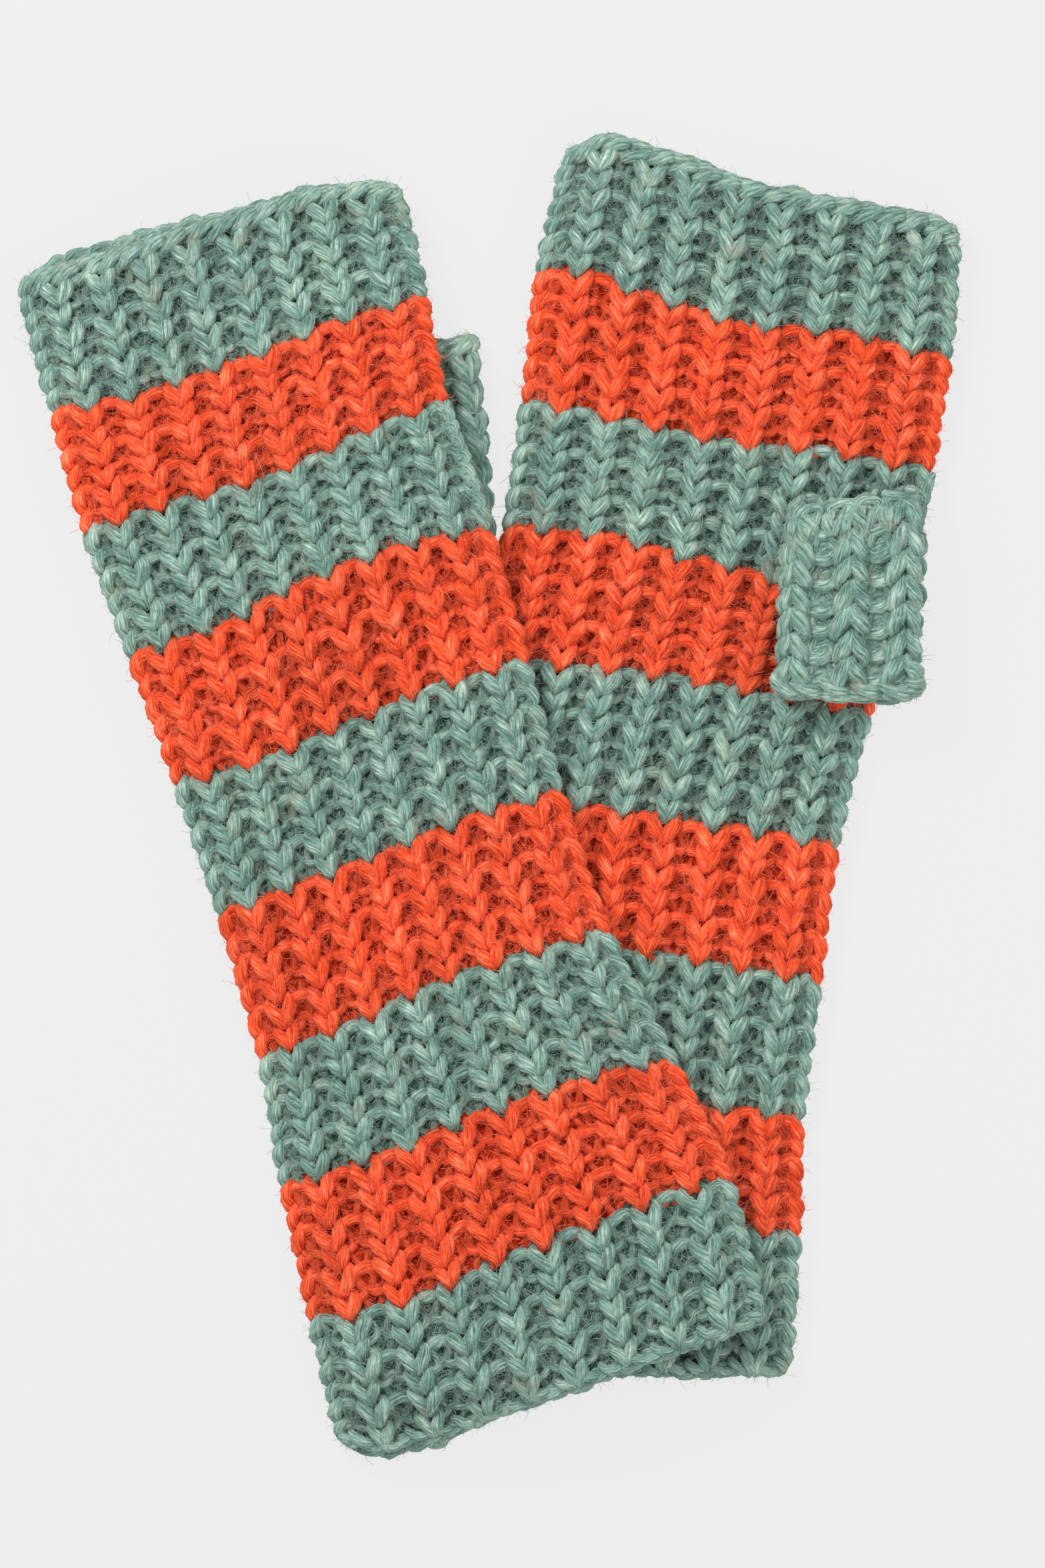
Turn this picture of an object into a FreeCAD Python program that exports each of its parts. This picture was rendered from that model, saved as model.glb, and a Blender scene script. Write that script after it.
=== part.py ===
import FreeCAD, Part
import os
import math

# A pair of striped, chunky ribbed fingerless gloves lying flat, one partly on top of the other.
# Millimetres, +Z up from the table, +Y towards the finger ends, origin at the middle of the
# footprint on the table. The left glove lies on top of the right glove; the right thumb is folded
# over its glove, the left thumb is tucked under its own palm.

V = FreeCAD.Vector

# ---------------------------------------------------------------- driving dimensions
WALL = 4.0            # one layer of half-fisherman's rib
SLACK = 2.5           # air between the two layers at the side folds
CROWN = 4.0           # extra air between the layers at the middle of the glove
THUMB_WALL = 3.0
THUMB_SLACK = 3.5
THUMB_CROWN = 1.5
ROW_GAP = 0.05        # half the clearance modelled between neighbouring stripes
EDGE_LEN = 2.6        # length of a bind-off or cast-on edge along the glove
EDGE_INSET = 0.4      # how far an edge is thinner than the wall, on each face
LAYER_SPLIT = 0.05    # half the clearance between the upper and lower half of a split band
CUFF_SPLIT = 0.2      # the same at the left cuff, which opens over a slope
FLAT_CUT = 0.05       # how much is trimmed under the right glove to leave plane faces
YARN_R = 1.0          # carried yarn, inside
SEAM_R = 0.45         # seaming yarn, inside
JOIN_R = 1.2          # picked-up round at the thumb hole
HOLE_LEN = 24.0       # thumb hole along the side fold
HOLE_HEIGHT = 3.2
LIFT = 0.3            # clearance under the glove that lies on top

# Side folds of each glove at the ten stripe boundaries, from the finger end to the cuff.
LEFT_L = [(-111.6, 119.2), (-104.3, 91.9), (-96.5, 63.2), (-85.8, 33.6), (-75.0, 3.8),
          (-64.8, -26.8), (-55.0, -61.0), (-49.7, -91.2), (-43.1, -122.6), (-36.5, -150.8)]
LEFT_R = [(-18.9, 142.4), (-13.8, 119.2), (-8.9, 94.7), (1.5, 64.2), (10.1, 33.6),
          (18.4, 3.0), (29.4, -30.0), (45.4, -61.4), (58.0, -88.8), (66.0, -120.2)]
RIGHT_L = [(16.5, 150.6), (10.6, 124.7), (7.1, 94.9), (2.7, 64.2), (-3.2, 33.6),
           (-9.5, 3.0), (-14.2, -29.2), (-17.7, -62.1), (-20.2, -93.5), (-21.8, -125.7)]
RIGHT_R = [(112.0, 131.4), (109.8, 104.0), (105.4, 77.6), (97.9, 46.2), (91.1, 20.3),
           (83.4, -10.5), (79.3, -42.5), (75.1, -74.9), (74.3, -102.2), (72.1, -132.9)]
# Thumb tubes: side folds at the root and at the open end.
RIGHT_THUMB_L = [(68.3, 65.5), (66.8, 26.5)]
RIGHT_THUMB_R = [(103.6, 70.7), (101.9, 26.5)]
LEFT_THUMB_L = [(-33.9, 59.3), (-37.3, 102.2)]
LEFT_THUMB_R = [(0.5, 61.9), (-2.9, 104.8)]


def smooth(t):
    t = max(0.0, min(1.0, t))
    return t * t * (3.0 - 2.0 * t)


def along(points, k):
    """Position on a side fold at stripe coordinate k, running straight on past either end."""
    n = len(points) - 1
    if k <= 0.0 or n == 1:
        a, b = points[0], points[1]
        return (a[0] + (b[0] - a[0]) * k, a[1] + (b[1] - a[1]) * k)
    if k >= n:
        a, b = points[n - 1], points[n]
        return (b[0] + (b[0] - a[0]) * (k - n), b[1] + (b[1] - a[1]) * (k - n))
    i = min(int(k), n - 1)
    t = k - i
    p1, p2 = points[i], points[i + 1]
    p0 = points[i - 1] if i > 0 else (2 * p1[0] - p2[0], 2 * p1[1] - p2[1])
    p3 = points[i + 2] if i + 2 <= n else (2 * p2[0] - p1[0], 2 * p2[1] - p1[1])
    out = []
    for c in (0, 1):
        out.append(0.5 * (2 * p1[c] + (p2[c] - p0[c]) * t
                          + (2 * p0[c] - 5 * p1[c] + 4 * p2[c] - p3[c]) * t * t
                          + (3 * p1[c] - p0[c] - 3 * p2[c] + p3[c]) * t * t * t))
    return tuple(out)


def edge_x(points, y):
    for (xa, ya), (xb, yb) in zip(points, points[1:]):
        if ya >= y >= yb:
            return xa + (xb - xa) * (ya - y) / (ya - yb)
    return points[0][0] if y > points[0][1] else points[-1][0]


def right_top(x, y):
    """Height that cloth lying over the right glove needs at a table point, sloping off beside it."""
    xl, xr = edge_x(RIGHT_L, y), edge_x(RIGHT_R, y)
    half = 0.5 * (xr - xl)
    a = half - 0.5 * (2 * WALL + SLACK)
    u = min(1.0, abs((x - xl - half) / a))
    (xa, ya), (xb, yb) = RIGHT_L[9], RIGHT_R[9]
    cuff_end = ya - EDGE_LEN - 0.2 + (yb - ya) * (x - xa) / (xb - xa)
    rise = smooth((x - xl + 30.0) / 31.5) * smooth((y - cuff_end + 26.0) / 24.0)
    return rise * (2 * WALL + SLACK + 0.5 + CROWN * (1.0 - u ** 4))


def left_base(f, k, x, y):
    """Underside of the left glove: on the table, over its own thumb, and over the right glove."""
    ends = 0.45 + 0.55 * smooth(k / 0.95) if k < 0.95 else 1.0 - smooth((k - 3.2) / 1.0)
    thumb = 11.6 * smooth((f - 0.28) / 0.30) * ends
    glove = right_top(x, y)
    return LIFT + (thumb ** 8 + glove ** 8) ** 0.125


def flat_base(f, k, x, y):
    return -FLAT_CUT


def right_thumb_base(f, k, x, y):
    return 15.5 - 2.6 * f


def left_thumb_base(f, k, x, y):
    return 0.3


class Tube:
    """A flattened knitted tube between two side folds."""

    def __init__(self, left, right, base, wall=WALL, slack=SLACK, crown=CROWN, straight_under=False):
        self.left, self.right, self.base = left, right, base
        self.wall, self.slack, self.crown = wall, slack, crown
        self.thick = 2 * wall + slack
        self.straight_under = straight_under
        self.step = 0.5 if straight_under else 0.25

    def frame(self, k):
        (xl, yl), (xr, yr) = along(self.left, k), along(self.right, k)
        w = math.hypot(xr - xl, yr - yl)
        return (0.5 * (xl + xr), 0.5 * (yl + yr)), ((xr - xl) / w, (yr - yl) / w), w

    def point(self, k, u, h):
        (mx, my), (ex, ey), w = self.frame(k)
        x, y = mx + ex * u, my + ey * u
        return V(x, y, self.base(0.5 + u / w, k, x, y) + h)

    def half(self, k):
        return 0.5 * self.frame(k)[2] - 0.5 * self.thick

    def lens(self, k, u):
        return self.crown * (1.0 - min(1.0, abs(u / self.half(k))) ** 4)

    def length_k(self, k, mm):
        (ax, ay), _, _ = self.frame(k - 0.01)
        (bx, by), _, _ = self.frame(k + 0.01)
        return mm * 0.02 / math.hypot(bx - ax, by - ay)

    # the four borders of a section, as (u, h) lists
    def outer_under(self, k, inset):
        a = self.half(k)
        if self.straight_under:
            return [(-a, inset), (a, inset)]
        return [(-a + 2 * a * i / 14.0, inset) for i in range(15)]

    def outer_top(self, k, inset):
        a = self.half(k)
        us = [a - 2 * a * i / 14.0 for i in range(15)]
        return [(u, self.thick - inset + self.lens(k, u)) for u in us]

    def side(self, k, sign, start, end, radius):
        """Round side from angle start to end (degrees, 0 under, 180 on top)."""
        a = self.half(k)
        n = max(3, int(abs(end - start) / 20.0) + 1)
        pts = []
        for i in range(n):
            q = math.radians(start + (end - start) * i / (n - 1.0))
            pts.append((sign * (a + radius * math.sin(q)), 0.5 * self.thick - radius * math.cos(q)))
        return pts

    def inner_under(self, k, inset):
        a = self.half(k)
        if self.straight_under:
            return [(-a, self.wall - inset), (a, self.wall - inset)]
        return [(-a + 2 * a * i / 14.0, self.wall - inset) for i in range(15)]

    def inner_top(self, k, inset):
        a = self.half(k)
        us = [a - 2 * a * i / 14.0 for i in range(15)]
        return [(u, self.wall + self.slack + inset + self.lens(k, u)) for u in us]

    def edge(self, k, pairs):
        pts = [self.point(k, u, h) for u, h in pairs]
        if len(pts) == 2:
            return Part.makeLine(pts[0], pts[1])
        c = Part.BSplineCurve()
        c.interpolate(pts)
        return c.toShape()

    def outer(self, k, inset=0.0):
        r = 0.5 * self.thick - inset
        return Part.Wire([self.edge(k, self.outer_under(k, inset)),
                          self.edge(k, self.side(k, 1, 0, 180, r)),
                          self.edge(k, self.outer_top(k, inset)),
                          self.edge(k, self.side(k, -1, 180, 0, r))])

    def inner(self, k, inset=0.0):
        r = 0.5 * self.slack + inset
        return Part.Wire([self.edge(k, self.inner_under(k, inset)),
                          self.edge(k, self.side(k, 1, 0, 180, r)),
                          self.edge(k, self.inner_top(k, inset)),
                          self.edge(k, self.side(k, -1, 180, 0, r))])

    def half_section(self, k, top, inset=0.0, split=LAYER_SPLIT):
        """Closed C-shaped section of the upper or lower layer with its half of both folds."""
        ro, ri = 0.5 * self.thick - inset, 0.5 * self.slack + inset
        d = math.degrees(split / ro)
        di = min(80.0, math.degrees(split / ri))
        if top:
            loops = [self.side(k, 1, 90 + d, 180, ro), self.outer_top(k, inset),
                     self.side(k, -1, 180, 90 + d, ro), None,
                     self.side(k, -1, 90 + di, 180, ri), self.inner_top(k, inset)[::-1],
                     self.side(k, 1, 180, 90 + di, ri), None]
        else:
            loops = [self.side(k, 1, 90 - d, 0, ro), self.outer_under(k, inset)[::-1],
                     self.side(k, -1, 0, 90 - d, ro), None,
                     self.side(k, -1, 90 - di, 0, ri), self.inner_under(k, inset),
                     self.side(k, 1, 0, 90 - di, ri), None]
        for i in (3, 7):
            loops[i] = [loops[i - 1][-1], loops[(i + 1) % 8][0]]
        return Part.Wire([self.edge(k, p) for p in loops])

    def stations(self, k0, k1, step):
        n = max(1, int(round((k1 - k0) / step)))
        return [k0 + (k1 - k0) * i / n for i in range(n + 1)]

    def ring(self, k0, k1, inset=0.0):
        ks = self.stations(k0, k1, self.step)
        body = Part.makeLoft([self.outer(k, inset) for k in ks], True, True)
        d = self.length_k(k0, 0.5)
        kc = [k0 - d] + ks[1:-1] + [k1 + d]
        hollow = Part.makeLoft([self.inner(k, inset) for k in kc], True, True)
        return single(body.cut(hollow))

    def layer(self, k0, k1, top, inset=0.0, split=LAYER_SPLIT):
        ks = self.stations(k0, k1, self.step)
        return single(Part.makeLoft([self.half_section(k, top, inset, split) for k in ks], True, True))

    def strand(self, k0, k1, u_ratio, height, radius):
        """A yarn inside the hollow at a fixed fraction of the half width."""
        n = max(2, int(round((k1 - k0) / 0.25)))
        pts = []
        for i in range(n + 1):
            k = k0 + (k1 - k0) * i / n
            pts.append(self.point(k, u_ratio * self.half(k), height))
        return yarn(pts, radius)


def single(shape):
    solids = shape.Solids
    solids.sort(key=lambda s: -s.Volume)
    s = solids[0]
    if s.Volume < 0:
        s.reverse()
    return s


def yarn(pts, radius, closed=False):
    c = Part.BSplineCurve()
    if closed:
        c.interpolate(pts, PeriodicFlag=True)
    else:
        c.interpolate(pts)
    path = Part.Wire([c.toShape()])
    start, tangent = c.value(c.FirstParameter), c.tangent(c.FirstParameter)[0]
    section = Part.Wire([Part.makeCircle(radius, start, tangent)])
    return single(path.makePipeShell([section], True, True))


def fold_frame(tube, k):
    """Point on the right-hand side fold, unit along it (towards the cuff) and unit outwards."""
    (x0, y0), (x1, y1) = along(tube.right, k - 0.05), along(tube.right, k + 0.05)
    n = math.hypot(x1 - x0, y1 - y0)
    d = ((x1 - x0) / n, (y1 - y0) / n)
    p = tube.point(k, 0.5 * tube.frame(k)[2], 0.5 * tube.thick)
    return p, V(d[0], d[1], 0), V(-d[1], d[0], 0)


def thumb_hole(tube, k):
    p, d, n = fold_frame(tube, k)
    box = Part.makeBox(HOLE_LEN, 9.0, HOLE_HEIGHT, V(-0.5 * HOLE_LEN, -6.4, -0.5 * HOLE_HEIGHT))
    m = FreeCAD.Matrix(d.x, n.x, 0, p.x, d.y, n.y, 0, p.y, 0, 0, 1, p.z, 0, 0, 0, 1)
    return box.transformGeometry(m)


def thumb_join(tube, k):
    """The round of stitches picked up around the thumb hole, a flat loop on the side fold."""
    p, d, n = fold_frame(tube, k)
    half, rise = 0.5 * HOLE_LEN - 2.0, 3.4
    loop = None
    for s in (1, -1):
        bend = Part.makeTorus(rise, JOIN_R, V(half, 0, 0), V(0, 1, 0), -180, 180, 180)
        bar = Part.makeCylinder(JOIN_R, 2 * half, V(-half, 0, rise), V(1, 0, 0))
        if s < 0:
            bend.rotate(V(0, 0, 0), V(0, 1, 0), 180)
            bar.rotate(V(0, 0, 0), V(0, 1, 0), 180)
        loop = bend.fuse(bar) if loop is None else loop.fuse([bend, bar])
    q = p + n * (JOIN_R + 0.2)
    loop.transformShape(FreeCAD.Matrix(d.x, n.x, 0, q.x, d.y, n.y, 0, q.y, 0, 0, 1, q.z, 0, 0, 0, 1))
    return single(loop)


def main():
    os.makedirs("parts", exist_ok=True)
    left = Tube(LEFT_L, LEFT_R, left_base)
    right = Tube(RIGHT_L, RIGHT_R, flat_base, straight_under=True)
    parts = {}
    colour = ["teal", "orange"]

    for name, g in (("left", left), ("right", right)):
        for i in range(9):
            k0, k1 = float(i), float(i + 1)
            k0 += g.length_k(k0, ROW_GAP)
            k1 -= g.length_k(k1, ROW_GAP)
            if i == 0 or (i == 8 and name == "left"):
                band = "finger" if i == 0 else "cuff"
                split = LAYER_SPLIT if i == 0 else CUFF_SPLIT
                parts["%s_%s_band_top" % (name, band)] = g.layer(k0, k1, True, 0.0, split)
                parts["%s_%s_band_under" % (name, band)] = g.layer(k0, k1, False, 0.0, split)
            elif i == 8:
                parts["right_cuff_band"] = g.ring(k0, k1)
            else:
                s = g.ring(k0, k1)
                if i == 2:
                    s = single(s.cut(thumb_hole(g, 2.5)))
                parts["%s_stripe_%d_%s" % (name, i + 1, colour[i % 2])] = s
        # bind-off at the finger end, cast-on at the cuff
        e1 = g.length_k(0.0, EDGE_LEN)
        parts["%s_finger_edge_top" % name] = g.layer(-e1, 0.0, True, EDGE_INSET)
        parts["%s_finger_edge_under" % name] = g.layer(-e1, 0.0, False, EDGE_INSET)
        e1 = g.length_k(9.0, EDGE_LEN)
        if name == "left":
            parts["left_cuff_edge_top"] = g.layer(9.0, 9.0 + e1, True, EDGE_INSET, CUFF_SPLIT)
            parts["left_cuff_edge_under"] = g.layer(9.0, 9.0 + e1, False, EDGE_INSET, CUFF_SPLIT)
        else:
            parts["right_cuff_edge"] = g.ring(9.0, 9.0 + e1, EDGE_INSET)
        parts["%s_thumb_join" % name] = thumb_join(g, 2.5)

    seam_u, seam_h = 0.92, WALL + 0.8
    parts["left_side_seam_hand"] = left.strand(0.06, 1.96, seam_u, seam_h, SEAM_R)
    parts["left_side_seam_cuff"] = left.strand(3.05, 7.95, seam_u, seam_h, SEAM_R)
    parts["right_side_seam_hand"] = right.strand(0.06, 1.96, seam_u, seam_h, SEAM_R)
    parts["right_side_seam_cuff"] = right.strand(3.05, 8.95, seam_u, seam_h, SEAM_R)

    # the unused colour carried up inside, behind each stripe of the other colour
    yarn_h = WALL + 1.4
    for name, g in (("left", left), ("right", right)):
        for col, first in (("teal", 1), ("orange", 2)):
            runs = [(i - 0.12, i + 1.12) for i in range(first, 8, 2)]
            ratio = -0.88 if col == "teal" else -0.80
            if name == "left":
                a, b = runs[0]
                parts["left_hand_%s_carried_yarn" % col] = g.strand(a, min(b, 2.94), ratio, yarn_h, YARN_R)
                runs = [(max(a, 3.06), min(b, 7.96)) for a, b in runs[1:]]
                key = "left_cuff_%s_carried_yarn" % col
            else:
                key = "right_%s_carried_yarn" % col
            parts[key] = Part.makeCompound([g.strand(a, b, ratio, yarn_h, YARN_R) for a, b in runs])

    # thumbs: a ribbed tube and its bind-off edge
    for name, l, r, base in (("right", RIGHT_THUMB_L, RIGHT_THUMB_R, right_thumb_base),
                             ("left", LEFT_THUMB_L, LEFT_THUMB_R, left_thumb_base)):
        t = Tube(l, r, base, THUMB_WALL, THUMB_SLACK, THUMB_CROWN)
        e0, e1 = t.length_k(1.0, 2 * ROW_GAP), t.length_k(1.0, EDGE_LEN)
        parts["%s_thumb_tube" % name] = t.ring(0.0, 1.0 - e0)
        parts["%s_thumb_edge" % name] = t.ring(1.0, 1.0 + e1, EDGE_INSET)

    # the right glove lies on the table: trim its underside to true planes
    below = Part.makeBox(400.0, 400.0, 5.0, V(-200.0, -200.0, -5.0))
    for name in parts:
        if name.startswith("right_") and parts[name].BoundBox.ZMin < -1e-4 and len(parts[name].Solids) == 1:
            parts[name] = single(parts[name].cut(below))

    for name, shape in parts.items():
        shape.exportStep("parts/%s.step" % name)
    return parts


PARTS = main()
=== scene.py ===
import math

import bpy
import numpy as np
from mathutils import Matrix, Vector


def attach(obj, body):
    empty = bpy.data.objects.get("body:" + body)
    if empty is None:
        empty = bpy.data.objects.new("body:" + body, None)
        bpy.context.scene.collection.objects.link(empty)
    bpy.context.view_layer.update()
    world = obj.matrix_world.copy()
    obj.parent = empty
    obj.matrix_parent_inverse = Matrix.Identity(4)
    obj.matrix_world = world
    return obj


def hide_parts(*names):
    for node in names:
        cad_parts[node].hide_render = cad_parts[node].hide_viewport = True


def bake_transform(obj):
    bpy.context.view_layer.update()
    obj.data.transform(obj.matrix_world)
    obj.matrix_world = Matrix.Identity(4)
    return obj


# A pair of striped fingerless gloves in chunky half-fisherman's rib. Every loop of every row is a
# swept yarn: a row runs once round the flattened tube, knit loops standing proud on the ribs and
# purl loops sunk in the valleys between them, wide and narrow rows alternating.
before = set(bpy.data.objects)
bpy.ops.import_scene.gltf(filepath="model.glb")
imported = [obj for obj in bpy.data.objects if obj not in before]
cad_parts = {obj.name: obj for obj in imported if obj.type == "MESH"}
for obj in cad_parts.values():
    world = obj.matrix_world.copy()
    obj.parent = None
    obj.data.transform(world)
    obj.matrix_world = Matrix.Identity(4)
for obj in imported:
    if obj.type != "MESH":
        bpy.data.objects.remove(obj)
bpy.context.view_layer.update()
rng = np.random.default_rng(20)

# ------------------------------------------------------------------ layout, millimetres
LEFT_L = [(-111.6, 119.2), (-104.3, 91.9), (-96.5, 63.2), (-85.8, 33.6), (-75.0, 3.8),
          (-64.8, -26.8), (-55.0, -61.0), (-49.7, -91.2), (-43.1, -122.6), (-36.5, -150.8)]
LEFT_R = [(-18.9, 142.4), (-13.8, 119.2), (-8.9, 94.7), (1.5, 64.2), (10.1, 33.6),
          (18.4, 3.0), (29.4, -30.0), (45.4, -61.4), (58.0, -88.8), (66.0, -120.2)]
RIGHT_L = [(16.5, 150.6), (10.6, 124.7), (7.1, 94.9), (2.7, 64.2), (-3.2, 33.6),
           (-9.5, 3.0), (-14.2, -29.2), (-17.7, -62.1), (-20.2, -93.5), (-21.8, -125.7)]
RIGHT_R = [(112.0, 131.4), (109.8, 104.0), (105.4, 77.6), (97.9, 46.2), (91.1, 20.3),
           (83.4, -10.5), (79.3, -42.5), (75.1, -74.9), (74.3, -102.2), (72.1, -132.9)]
RIGHT_THUMB_L = [(67.6, 65.5), (65.6, 26.5)]
RIGHT_THUMB_R = [(104.4, 70.7), (103.9, 26.5)]
LEFT_THUMB_L = [(-33.9, 59.3), (-37.3, 103.4)]
LEFT_THUMB_R = [(2.6, 61.9), (-1.2, 106.0)]
# How far each stripe boundary bows towards the cuff, at set fractions across the glove.
BOW_F = np.array([0.0, 0.12, 0.25, 0.5, 0.75, 0.9, 1.0])
LEFT_BOW = np.array([[0, -1.0, -1.5, -2.8, -4.5, -3.0, 0], [0, 2.0, 3.0, 2.0, 0, 0, 0], [0, 0.5, 1, 3, 1, 0, 0],
                     [0, 0, 0, -3, -4, -2, 0], [0, 1.5, 2, 0, -1, -0.5, 0], [0, 0, 0, -0.5, -1, 0, 0],
                     [0, 0, 0, -2.5, -1.5, -0.5, 0], [0, 0, 0, -2.5, -3.5, -2, 0], [0, 2, 3, 0.5, -1, -1, 0],
                     [0, 4.0, 4.5, 3, 1.5, 0.5, 0]], float)
RIGHT_BOW = np.array([[0, -6.0, -4.5, -1, -1.3, -2.0, 0], [0, -2.7, -0.5, 2.1, -0.8, 0, 0], [0, 0.5, 1, 2, -0.3, 0, 0],
                      [0, -2.0, -3.2, -1.5, 0.5, 0, 0], [0, -1, -1.8, -2, -1.2, -0.5, 0], [0, 0, -0.5, -0.5, -0.7, 0, 0],
                      [0, 0, 0, -0.5, -0.5, 0, 0], [0, 0, 0, 0, 0, 0, 0], [0, 0, 0, 0, 0, 0, 0],
                      [0, 1.0, 2, 3.5, 2.5, 1.0, 0]], float)
EDGE_LEN = 2.6
LIFT = 0.3
MID = 2.75           # depth of the cloth's middle below its outer face
CREST = 4.2          # radius of the side fold at which the ribs are spaced
RIBS = 18


def smooth(t):
    t = np.clip(t, 0.0, 1.0)
    return t * t * (3.0 - 2.0 * t)


class Fold:
    """A side fold: positions at stripe coordinate k, straight on past either end."""

    def __init__(self, pts):
        p = np.array(pts, float)
        self.n = len(p) - 1
        self.p = np.vstack([2 * p[0] - p[1], p, 2 * p[-1] - p[-2]])

    def at(self, k):
        k = np.asarray(k, float)
        kc = np.clip(k, 0.0, self.n)
        i = np.clip(kc.astype(int), 0, self.n - 1)
        t = (kc - i)[..., None]
        p0, p1, p2, p3 = self.p[i], self.p[i + 1], self.p[i + 2], self.p[i + 3]
        out = 0.5 * (2 * p1 + (p2 - p0) * t + (2 * p0 - 5 * p1 + 4 * p2 - p3) * t * t
                     + (3 * p1 - p0 - 3 * p2 + p3) * t ** 3)
        lo = (self.p[2] - self.p[1]) * np.minimum(k, 0.0)[..., None]
        hi = (self.p[-2] - self.p[-3]) * np.maximum(k - self.n, 0.0)[..., None]
        return out + lo + hi


def edge_x(pts, y):
    p = np.array(pts)[::-1]
    return np.interp(y, p[:, 1], p[:, 0])


def right_top(x, y):
    xl, xr = edge_x(RIGHT_L, y), edge_x(RIGHT_R, y)
    half = 0.5 * (xr - xl)
    u = np.minimum(1.0, np.abs((x - xl - half) / (half - 5.25)))
    (xa, ya), (xb, yb) = RIGHT_L[9], RIGHT_R[9]
    cuff_end = ya - EDGE_LEN - 0.2 + (yb - ya) * (x - xa) / (xb - xa)
    rise = smooth((x - xl + 30.0) / 31.5) * smooth((y - cuff_end + 26.0) / 24.0)
    return rise * (11.0 + 4.0 * (1.0 - u ** 4))


def left_base(f, k, x, y):
    ends = np.where(k < 0.95, 0.45 + 0.55 * smooth(k / 0.95), 1.0 - smooth((k - 3.2) / 1.0))
    thumb = 11.6 * smooth((f - 0.28) / 0.30) * ends
    return LIFT + (thumb ** 8 + right_top(x, y) ** 8) ** 0.125


def flat_base(f, k, x, y):
    return 0.0 * x


def right_thumb_base(f, k, x, y):
    return 15.5 - 2.6 * f


def left_thumb_base(f, k, x, y):
    return 0.3 + 0.0 * x


def c_u(c, q, a):
    """Position across the flat part, -1 to 1, of a distance c round the tube."""
    half = 2 * a + 2 * q
    return (np.mod(c, half) - q - a) / a


def left_slip(f, k):
    """How far the lower layer of the left glove reaches past the upper one, towards the cuff."""
    at_fingers = -2.4 * smooth((f - 0.02) / 0.12) * smooth((0.75 - f) / 0.45) * smooth((0.8 - k) / 0.8)
    at_cuff = 1.4 * smooth((0.30 - f) / 0.08) * smooth((k - 8.0) / 1.0)
    return at_fingers + at_cuff


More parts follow.
